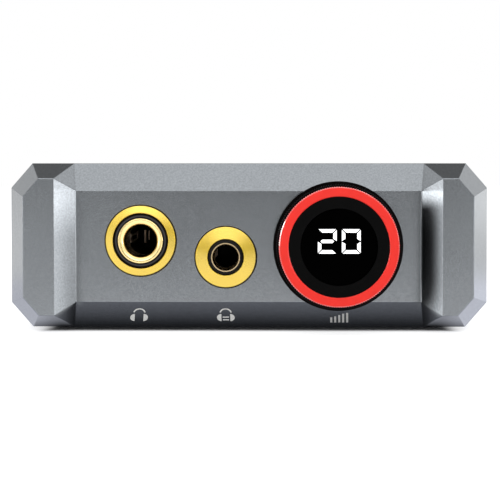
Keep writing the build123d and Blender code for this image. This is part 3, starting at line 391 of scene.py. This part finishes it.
def make_cards():
    """Light, grey and dark cards that shape what the metal reflects."""
    for plain in CARDS:
        card(*plain)
    floor_card("floor_right", FLOOR_SIDE_X, FLOOR_SIDE_Y, FLOOR_SIDE_SIZE, FLOOR_RIGHT_LEVEL,
               FLOOR_RIGHT_STEPS)
    floor_card("floor_left", -FLOOR_SIDE_X, FLOOR_SIDE_Y, FLOOR_SIDE_SIZE, FLOOR_LEFT_LEVEL)
    # Painted shade under the object: cards that stand for the floor's shadow in what the band and ears
    # reflect.
    floor_card("under_band", 0, 0, UNDER_BAND_SIZE, UNDER_BAND_LEVEL, UNDER_BAND_STEPS)
    for side, name in ((-1, "left"), (1, "right")):
        outer, inner, amount = UNDER_EAR_INWARDS
        steps = (UNDER_EAR_STEP, ("X", side * outer, side * inner, amount))
        floor_card(f"under_ear_{name}", side * UNDER_EAR_X, 0, UNDER_EAR_SIZE, UNDER_EAR_LEVEL, steps)
    # Painted reflection of the knob in the right wall.
    wall_cards("beside_knob", 1, BESIDE_KNOB_LEVELS, BESIDE_KNOB_STEPS, oval=True)
    wall_cards("beside_jack", -1, BESIDE_JACK_LEVELS, BESIDE_JACK_STEPS)


# ---- Materials; lengths in millimetres ----
NOISE_LOW = 0.3            # most of a noise's values lie between these
NOISE_HIGH = 0.7
BEVEL_SAMPLES = 6
SPECK = 0.35               # the anodised finish sparkles at this size
PATCH_SHARE = 0.37         # size of the patches of gloss, as a share of the colour's clouds
FLAT_FACING = 0.97         # a face is cut at a slant where less than this of its direction is depth
RIM_INSET = 0.6            # from the ring's outside to where its gloss may start
LATHE_PITCH = 0.3          # between the rings that a lathe leaves
LATHE_HEIGHT = 0.0006
NUT_EDGE = 0.15            # radius of a turned part's edges
LIP_WIDTH = 0.22           # of the painted highlight on the nose's lip, to each side of its middle
LIP_OUTSIDE = 0.42         # from the ferrule's outside to the middle of the painted highlight
LIP_PAINTED_HIGHLIGHT = (0.060, 0.056, 0.062)
NOSE_BLACK = (0.005, 0.005, 0.0055)
GREY = (0.222, 0.236, 0.250)
GOLD = (0.72, 0.495, 0.032)
BORE_GOLD = (0.97, 0.74, 0.30)
# Contacts and springs in the bores, darker than the jacks' gold: painted shade for their depth.
SPRING_SHADED_COLOUR = (0.42, 0.33, 0.26)
KNOB_RIM = (KNOB, outer_radius("knob_ring") / MM - RIM_INSET)


class Finish:
    """A Principled material under construction, with its texture coordinates in millimetres."""

    def __init__(self, name):
        self.material, self.tree = new_material(name)
        self.shader = self.tree.nodes["Principled BSDF"]
        place = self.tree.nodes.new("ShaderNodeTexCoord")
        self.place = self.vector_math("MULTIPLY", place.outputs["Object"], (1 / MM,) * 3)["Vector"]

    def link(self, source, target):
        self.tree.links.new(source, target)

    def math(self, operation, *values):
        """Arithmetic node in this material."""
        return math_node(self.tree, operation, *values)

    def vector_math(self, operation, value, other=(0, 0, 0)):
        """Outputs of a node that works on a socket and a fixed vector."""
        node = self.tree.nodes.new("ShaderNodeVectorMath")
        node.operation = operation
        node.inputs[1].default_value = other
        self.link(value, node.inputs[0])
        return node.outputs

    def set(self, **values):
        """Sets the shader's own sockets; underscores stand for the spaces in their names."""
        for key, value in values.items():
            self.shader.inputs[key.replace("_", " ")].default_value = value

    def noise(self, size, detail=3.0):
        """Cloudy value from 0 to 1, with features of the given size."""
        mapping = self.tree.nodes.new("ShaderNodeMapping")
        mapping.inputs["Scale"].default_value = (1 / size,) * 3
        noise = self.tree.nodes.new("ShaderNodeTexNoise")
        noise.inputs["Scale"].default_value = 1.0
        noise.inputs["Detail"].default_value = detail
        self.link(self.place, mapping.inputs["Vector"])
        self.link(mapping.outputs[0], noise.inputs["Vector"])
        return noise.outputs["Fac"]

    def spread(self, value, low, high, start=NOISE_LOW, end=NOISE_HIGH):
        """A value from start to end, spread over low to high."""
        return in_range(self.tree, value, start, end, low, high)

    def radius_from(self, middle):
        """Distance from a depth axis through a point."""
        shifted = self.vector_math("SUBTRACT", self.place, [part / MM for part in middle])["Vector"]
        flat = self.vector_math("MULTIPLY", shifted, (1, 0, 1))["Vector"]
        return self.vector_math("LENGTH", flat)["Value"]

    def colours(self, value, stops):
        """Colour from a value, by (position, colour) stops."""
        ramp = self.tree.nodes.new("ShaderNodeValToRGB")
        for element, (position, colour) in zip(ramp.color_ramp.elements, stops):
            element.position = position
            element.color = colour + (1,)
        self.link(value, ramp.inputs["Fac"])
        return ramp.outputs["Color"]

    def colour(self, socket):
        self.link(socket, self.shader.inputs["Base Color"])

    def clouded(self, value, colour, contrast):
        """Base colour that goes from darker to lighter with a noise, by a share each way."""
        self.colour(self.colours(value, [(NOISE_LOW, shade(colour, 1 - contrast)),
                                         (NOISE_HIGH, shade(colour, 1 + contrast))]))

    def roughness(self, value, low, high):
        """Uneven gloss from a noise."""
        self.link(self.spread(value, low, high), self.shader.inputs["Roughness"])

    def rounded_edges(self, radius):
        """Surface direction with every sharp edge rounded to a radius."""
        node = self.tree.nodes.new("ShaderNodeBevel")
        node.samples = BEVEL_SAMPLES
        node.inputs["Radius"].default_value = radius * MM
        return node.outputs[0]

    def bump(self, value, height, edge=0.0):
        """Relief of a full height, over sharp edges rounded to a radius where one is given."""
        node = self.tree.nodes.new("ShaderNodeBump")
        node.inputs["Distance"].default_value = height * MM
        self.link(value, node.inputs["Height"])
        if edge:
            self.link(self.rounded_edges(edge), node.inputs["Normal"])
        self.link(node.outputs[0], self.shader.inputs["Normal"])

    def glossy_rim(self, middle, radius):
        """Clear coat on the cut edge outside a radius, where the face isn't square to the depth."""
        facing = self.math("ABSOLUTE", parts_of(self.tree, "True Normal")["Y"])
        slanted = self.math("LESS_THAN", facing, FLAT_FACING)
        outside = self.math("GREATER_THAN", self.radius_from(middle), radius)
        self.link(self.math("MULTIPLY", slanted, outside), self.shader.inputs["Coat Weight"])
        self.set(Coat_IOR=2.4, Coat_Roughness=0.12)


def shade(colour, factor):
    """A colour made lighter or darker."""
    return tuple(min(channel * factor, 1.0) for channel in colour)


def grained(name, colour, metallic=0.0, rough=0.45, mottle=0.08, cloud=5.0, grain=0.12, height=0.004,
            rough_spread=0.06, specular=0.5, speckle=0.0, rim=None, edge=0.0):
    """Even finish with cloudy or speckled colour, uneven gloss and a fine surface grain."""
    finish = Finish(name)
    finish.set(Metallic=metallic, Specular_IOR_Level=specular)
    if rim:
        finish.glossy_rim(*rim)
    clouds = finish.noise(cloud)
    if speckle:
        specks = finish.noise(SPECK, detail=1.0)
        clouds = finish.math("ADD", finish.math("MULTIPLY", clouds, 1 - speckle),
                             finish.math("MULTIPLY", specks, speckle))
    finish.clouded(clouds, colour, mottle)
    finish.roughness(finish.noise(cloud * PATCH_SHARE), rough - rough_spread, rough + rough_spread)
    finish.bump(finish.noise(grain, detail=2.0), height, edge)
    return finish.material


def turned_metal(name, colour, middle, rough=0.26):
    """Metal with the fine rings that a lathe leaves round a depth axis, and the gloss that they spread."""
    finish = Finish(name)
    finish.set(Metallic=1.0, Anisotropic=0.7, Coat_Weight=0.7, Coat_IOR=2.0, Coat_Roughness=0.2)
    tangent = finish.tree.nodes.new("ShaderNodeTangent")
    tangent.direction_type = "RADIAL"
    tangent.axis = "Y"
    finish.link(tangent.outputs[0], finish.shader.inputs["Tangent"])
    turns = finish.math("MULTIPLY", finish.radius_from(middle), math.tau / LATHE_PITCH)
    finish.clouded(finish.noise(size=4.0), colour, contrast=0.03)
    finish.roughness(finish.noise(size=2.0), low=rough - 0.02, high=rough + 0.02)
    finish.bump(finish.math("SINE", turns), LATHE_HEIGHT, NUT_EDGE)
    return finish.material


def moulded_nose(name, middle, radius):
    """Matt black plastic with a thin grey ring painted round a depth axis: a painted highlight on its lip.
    """
    finish = Finish(name)
    finish.set(Specular_IOR_Level=0.12)
    from_lip = finish.math("ABSOLUTE", finish.math("SUBTRACT", finish.radius_from(middle), radius))
    share = finish.spread(from_lip, low=0, high=1, start=0, end=LIP_WIDTH)
    # The grey at the lip's radius is a painted highlight.
    finish.colour(finish.colours(share, [(0.2, LIP_PAINTED_HIGHLIGHT), (1.0, NOSE_BLACK)]))
    finish.roughness(finish.noise(size=0.7), low=0.45, high=0.55)
    finish.bump(finish.noise(size=0.12, detail=2.0), height=0.004)
    return finish.material


def printed_board(name):
    """Green solder mask over faint copper tracks."""
    finish = Finish(name)
    finish.set(Specular_IOR_Level=0.5)
    tracks = finish.tree.nodes.new("ShaderNodeTexBrick")
    tracks.inputs["Scale"].default_value = 0.25
    tracks.inputs["Mortar Size"].default_value = 0.03
    tracks.inputs["Color1"].default_value = (0.006, 0.035, 0.016, 1)
    tracks.inputs["Color2"].default_value = (0.008, 0.045, 0.02, 1)
    tracks.inputs["Mortar"].default_value = (0.02, 0.09, 0.04, 1)
    finish.link(finish.place, tracks.inputs["Vector"])
    finish.colour(tracks.outputs["Color"])
    finish.roughness(finish.noise(size=3.0), low=0.3, high=0.45)
    finish.bump(tracks.outputs["Fac"], height=0.02)
    return finish.material


def lit_digit(name):
    """Lit bars behind the window."""
    finish = Finish(name)
    finish.set(Base_Color=(0.9, 0.9, 0.9, 1), Emission_Strength=1.0, Roughness=0.4)
    glow = finish.colours(finish.noise(size=0.6), [(0.2, (0.93, 0.97, 1.0)), (0.6, (1.0, 1.0, 1.0))])
    finish.link(glow, finish.shader.inputs["Emission Color"])
    return finish.material


# Grained finishes of the record's slots: colour, metallic, roughness, and what else differs.
SLOT_FINISHES = {
    "anodised": (GREY, 1.0, 0.24, dict(mottle=0.12, cloud=9.0, grain=0.16, height=0.005,
                                       rough_spread=0.01, speckle=0.85, edge=0.16)),
    "rear_plate": ((0.05, 0.052, 0.056), 1.0, 0.42, dict(grain=0.14, height=0.006)),
    "screw_steel": ((0.16, 0.16, 0.17), 1.0, 0.30, dict(cloud=1.5)),
    "foot_rubber": ((0.018, 0.018, 0.019), 0.0, 0.75, dict(mottle=0.2, grain=0.3, height=0.03)),
    "connector_black": ((0.014, 0.014, 0.015), 0.0, 0.42, dict(mottle=0.15, cloud=2.0)),
    "gold": (GOLD, 1.0, 0.22, dict(mottle=0.05, cloud=2.0, height=0.002)),
    "pale_gold": ((0.62, 0.47, 0.27), 1.0, 0.25, dict(cloud=1.5, height=0.002)),
    # knob_black: black of its own, with a slight red cast that is painted reflection of the red ring.
    "knob_black": ((0.003, 0.0018, 0.0018), 0.0, 0.30, dict(mottle=0.1, cloud=2.0, specular=0.035)),
    "knob_red": ((0.97, 0.030, 0.019), 0.0, 0.36, dict(mottle=0.03, cloud=2.5, specular=0.3, rim=KNOB_RIM)),
    "knob_dark": ((0.0037, 0.0037, 0.0037), 0.0, 0.55, dict(cloud=2.0, specular=0.02)),
    "window": ((0.0003, 0.0003, 0.0003), 0.0, 0.18, dict(cloud=3.0, height=0.0005, specular=0.004)),
    "light_unit": ((0.55, 0.56, 0.55), 0.0, 0.5, {}),
    "brass": ((0.75, 0.52, 0.22), 1.0, 0.3, dict(cloud=2.0)),
    "shaft_steel": ((0.5, 0.5, 0.5), 1.0, 0.3, dict(cloud=2.0)),
    "plated_steel": ((0.62, 0.62, 0.61), 1.0, 0.28, dict(cloud=1.5)),
    "insert_white": ((0.75, 0.75, 0.73), 0.0, 0.4, dict(cloud=1.5)),
    "insert_red": ((0.55, 0.02, 0.02), 0.0, 0.4, dict(cloud=1.5)),
    "insert_orange": ((0.75, 0.2, 0.02), 0.0, 0.4, dict(cloud=1.5)),
    "chip_black": ((0.02, 0.02, 0.021), 0.0, 0.6, dict(cloud=1.0)),
    "capacitor_sleeve": ((0.015, 0.016, 0.03), 0.0, 0.35, dict(cloud=1.5)),
    "film_red": ((0.45, 0.03, 0.02), 0.0, 0.35, dict(cloud=1.5)),
    "ferrite": ((0.05, 0.05, 0.055), 0.0, 0.55, dict(cloud=1.0, grain=0.2, height=0.02)),
}


def slot_materials():
    """One finish for each material slot of the record."""
    finishes = {slot: grained(slot, colour, metallic, rough, **rest)
                for slot, (colour, metallic, rough, rest) in SLOT_FINISHES.items()}
    return {**finishes, "board": printed_board("board"), "digit": lit_digit("digit")}


def node_materials():
    """Finishes of the nodes that look a little different from the rest of their slot."""
    # The contacts' and springs' darker colour is painted shade for their depth in the bores.
    shaded_contacts = grained("spring", SPRING_SHADED_COLOUR, 1.0, 0.35, cloud=1.0, height=0.002)
    lip = outer_radius("big_jack_ferrule") / MM + LIP_OUTSIDE
    return {"big_jack_nut": turned_metal("gold_turned_big", GOLD, BIG_JACK),
            "big_jack_ferrule": turned_metal("gold_turned_bore", BORE_GOLD, BIG_JACK, rough=0.2),
            "small_jack_nut": turned_metal("gold_turned_small", GOLD, SMALL_JACK),
            "big_jack_housing": moulded_nose("jack_nose", BIG_JACK, lip),
            "small_jack_housing": grained("jack_black", NOSE_BLACK, 0.0, 0.5, cloud=2.0, specular=0.12),
            "big_jack_contacts": shaded_contacts,
            "small_jack_contacts": shaded_contacts}


def dress_nodes(by_slot, by_node):
    """Gives every node its own finish or that of its slot in the record."""
    slots = {part["node"]: part["material_slot"] for part in frame["record"]["subparts"]}
    for name, node in nodes.items():
        node.data.materials.clear()
        node.data.materials.append(by_node.get(name, by_slot[slots[name]]))


# ---- Fine pieces that the frame doesn't hold ----
def join_loops(mesh, near, far):
    """Faces all the way round between two closed loops of corners."""
    for index in range(len(near)):
        mesh.faces.new((near[index - 1], near[index], far[index], far[index - 1]))


def mesh_piece(name, mesh, place, finish):
    """Object made of a finished bmesh; it rides on the chassis."""
    bmesh.ops.recalc_face_normals(mesh, faces=mesh.faces)
    data = bpy.data.meshes.new(name)
    mesh.to_mesh(data)
    mesh.free()
    data.materials.append(finish)
    piece = in_scene(name, data)
    piece.location = place
    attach(piece, "chassis")


# ---- Symbols printed on the band under the panel; outlines in millimetres along its surface ----
PRINT_THICKNESS = 0.03 * MM
PRINT_LIFT = 0.01 * MM
PRINT_WHITE = (0.84, 0.84, 0.82)
SYMBOL_DROP = 14.5 * MM          # from the middle of the case to a headphone symbol's own middle
ARC_STEPS = 16
CUP_STEPS = 12
CUP_INNER = 0.92
CUP_WIDTH = 0.94
CUP_MIDDLE = -0.75
CUP_HALF_HEIGHT = 1.03
BOW = (0, 0.62)
BOW_RADII = (1.27, 0.98)
BOW_ENDS = (6, 174)              # degrees
DASHES = (-0.62, -1.40)          # middles of the two dashes that mean balanced
DASH_HALF_WIDTH = 0.66
DASH_HALF_HEIGHT = 0.14
HEADPHONE_LEAN = 0.12            # across, as a share of the height
HEADPHONE_SHIFT = -0.6 * MM      # across, from the jack's or knob's middle
BALANCED_SHIFT = -0.1 * MM
VOLUME_HEIGHTS = (1.5, 1.75, 2.1, 2.5, 2.75)
VOLUME_PITCH = 0.83
VOLUME_WIDTH = 0.42
VOLUME_LEAN = -0.035
VOLUME_SHIFT = 0.48 * MM
VOLUME_DROP = 1.68 * MM          # feet of the bars below the middle of the other symbols


def arc(middle, radius, start, end, steps=ARC_STEPS):
    """Points along an arc, angles in degrees."""
    points = []
    for step in range(steps + 1):
        angle = math.radians(start + (end - start) * step / steps)
        points.append((middle[0] + radius * math.cos(angle), middle[1] + radius * math.sin(angle)))
    return points


def box_outline(left, right, low, high):
    """Outline of an upright box."""
    return [(left, low), (right, low), (right, high), (left, high)]


def cup_outline(side):
    """Ear cup of a headphone symbol, round on the side given as -1 or 1."""
    return [(side * (CUP_INNER + u * CUP_WIDTH), CUP_MIDDLE + v * CUP_HALF_HEIGHT)
            for u, v in arc((0, 0), 1, -90, 90, CUP_STEPS)]


def bow_outline():
    """Bow between the two cups."""
    outer, inner = BOW_RADII
    start, end = BOW_ENDS
    return arc(BOW, outer, start, end) + arc(BOW, inner, end, start)


def bar_outline(index, height):
    """One bar of the volume symbol, counted from the left."""
    first = -(len(VOLUME_HEIGHTS) - 1) / 2 * VOLUME_PITCH
    middle = first + index * VOLUME_PITCH
    return box_outline(middle - VOLUME_WIDTH / 2, middle + VOLUME_WIDTH / 2, 0, height)


def leaning(outlines, lean):
    """The same outlines, moved across by a share of how high they are."""
    return [[(u + lean * v, v) for u, v in outline] for outline in outlines]


def printed(name, outlines, x, z, ink):
    """Thin printed shapes on the band, round the place on it at (x, z)."""
    point, normal = surface_at("front_shell", x, z)
    across = Vector((1, 0, 0))
    up = normal.cross(across).normalized()
    mesh = bmesh.new()
    for outline in outlines:
        places = [point + across * u * MM + up * v * MM + normal * PRINT_LIFT for u, v in outline]
        base = [mesh.verts.new(place) for place in places]
        top = [mesh.verts.new(place + normal * PRINT_THICKNESS) for place in places]
        mesh.faces.new(base)
        mesh.faces.new(top)
        join_loops(mesh, base, top)
    mesh_piece(name, mesh, (0, 0, 0), ink)


def make_symbols():
    """Headphones, balanced headphones and volume: the plain marks under the jacks and knob."""
    ink = grained("print", PRINT_WHITE, 0.0, 0.55, cloud=0.8, mottle=0.04, grain=0.1, height=0.002)
    row = BODY_MIDDLE - SYMBOL_DROP
    headphones = [cup_outline(-1), cup_outline(1), bow_outline()]
    dashes = [box_outline(-DASH_HALF_WIDTH, DASH_HALF_WIDTH, middle - DASH_HALF_HEIGHT,
                          middle + DASH_HALF_HEIGHT) for middle in DASHES]
    bars = [bar_outline(index, height) for index, height in enumerate(VOLUME_HEIGHTS)]
    printed("symbol_headphones", leaning(headphones, HEADPHONE_LEAN),
            BIG_JACK.x + HEADPHONE_SHIFT, row, ink)
    printed("symbol_balanced", headphones + dashes, SMALL_JACK.x + BALANCED_SHIFT, row, ink)
    printed("symbol_volume", leaning(bars, VOLUME_LEAN), KNOB.x + VOLUME_SHIFT, row - VOLUME_DROP, ink)


# ---- Dark rings round the ring nuts: painted shade in the gap of each nut's recess ----
SHADE_RING_WIDTH = 0.16 * MM
SHADE_RING_DEPTH = 0.45 * MM
SHADE_RING_SINK = 0.1 * MM     # below the panel's face
SHADE_RING_EDGE = 0.04 * MM    # cut off the front corners
SHADE_RING_STEPS = 96


def shade_ring(name, node, finish):
    """Black ring round a ring nut, in the nut's recess: painted shade for the gap round the nut."""
    middle = centre(node)
    inner = outer_radius(node)
    outer = inner + SHADE_RING_WIDTH
    front = PANEL_FACE + SHADE_RING_SINK
    back = front + SHADE_RING_DEPTH
    profile = [(inner, back), (inner, front + SHADE_RING_EDGE), (inner + SHADE_RING_EDGE, front),
               (outer - SHADE_RING_EDGE, front), (outer, front + SHADE_RING_EDGE), (outer, back)]
    mesh = bmesh.new()
    rounds = []
    for step in range(SHADE_RING_STEPS):
        angle = math.tau * step / SHADE_RING_STEPS
        rounds.append([mesh.verts.new((radius * math.cos(angle), depth, radius * math.sin(angle)))
                       for radius, depth in profile])
    for index, loop in enumerate(rounds):
        join_loops(mesh, rounds[index - 1], loop)
    mesh_piece(name, mesh, (middle.x, 0, middle.z), finish)


def make_shade_rings(finish):
    for size in ("big", "small"):
        shade_ring(f"{size}_jack_washer", f"{size}_jack_nut", finish)


# ---- Springs seen in the bore of the 6.35 mm jack ----
# Lowest and highest corner from the middle of the jack's nut, and how much its edges are broken,
# in millimetres. Two leaves lie along the left wall, and two stand across the bore further in.
SPRINGS = (("spring_side_0", (-3.15, 9, 0.35), (-2.97, 21, 0.85), 0.05),
           ("spring_side_1", (-3.15, 9, -0.95), (-2.97, 21, -0.45), 0.05),
           ("spring_end", (-1.9, 25.5, -1.8), (-1.5, 27.5, 1.1), 0.08),
           ("spring_stop", (-1.0, 26.5, -1.2), (-0.8, 27.5, 0.9), 0.05))
EDGE_SEGMENTS = 2


def slab(name, low, high, edge, finish):
    """Block with broken edges between two corners."""
    mesh = bmesh.new()
    bmesh.ops.create_cube(mesh, size=1.0)
    for corner in mesh.verts:
        place = Vector(high[axis] if corner.co[axis] > 0 else low[axis] for axis in range(3))
        corner.co = BIG_JACK + place * MM
    bmesh.ops.bevel(mesh, geom=mesh.edges[:], offset=edge * MM, segments=EDGE_SEGMENTS, affect="EDGES")
    mesh_piece(name, mesh, (0, 0, 0), finish)


def make_springs(finish):
    for name, low, high, edge in SPRINGS:
        slab(name, low, high, edge, finish)


by_slot = slot_materials()
by_node = node_materials()
bpy.context.scene.view_settings.view_transform = "Standard"
make_camera()
make_world()
make_floor()
make_lamps()
make_cards()
dress_nodes(by_slot, by_node)
make_symbols()
# Painted shade: black rings in the gaps round the nuts.
make_shade_rings(by_node["small_jack_housing"])
make_springs(by_node["big_jack_contacts"])
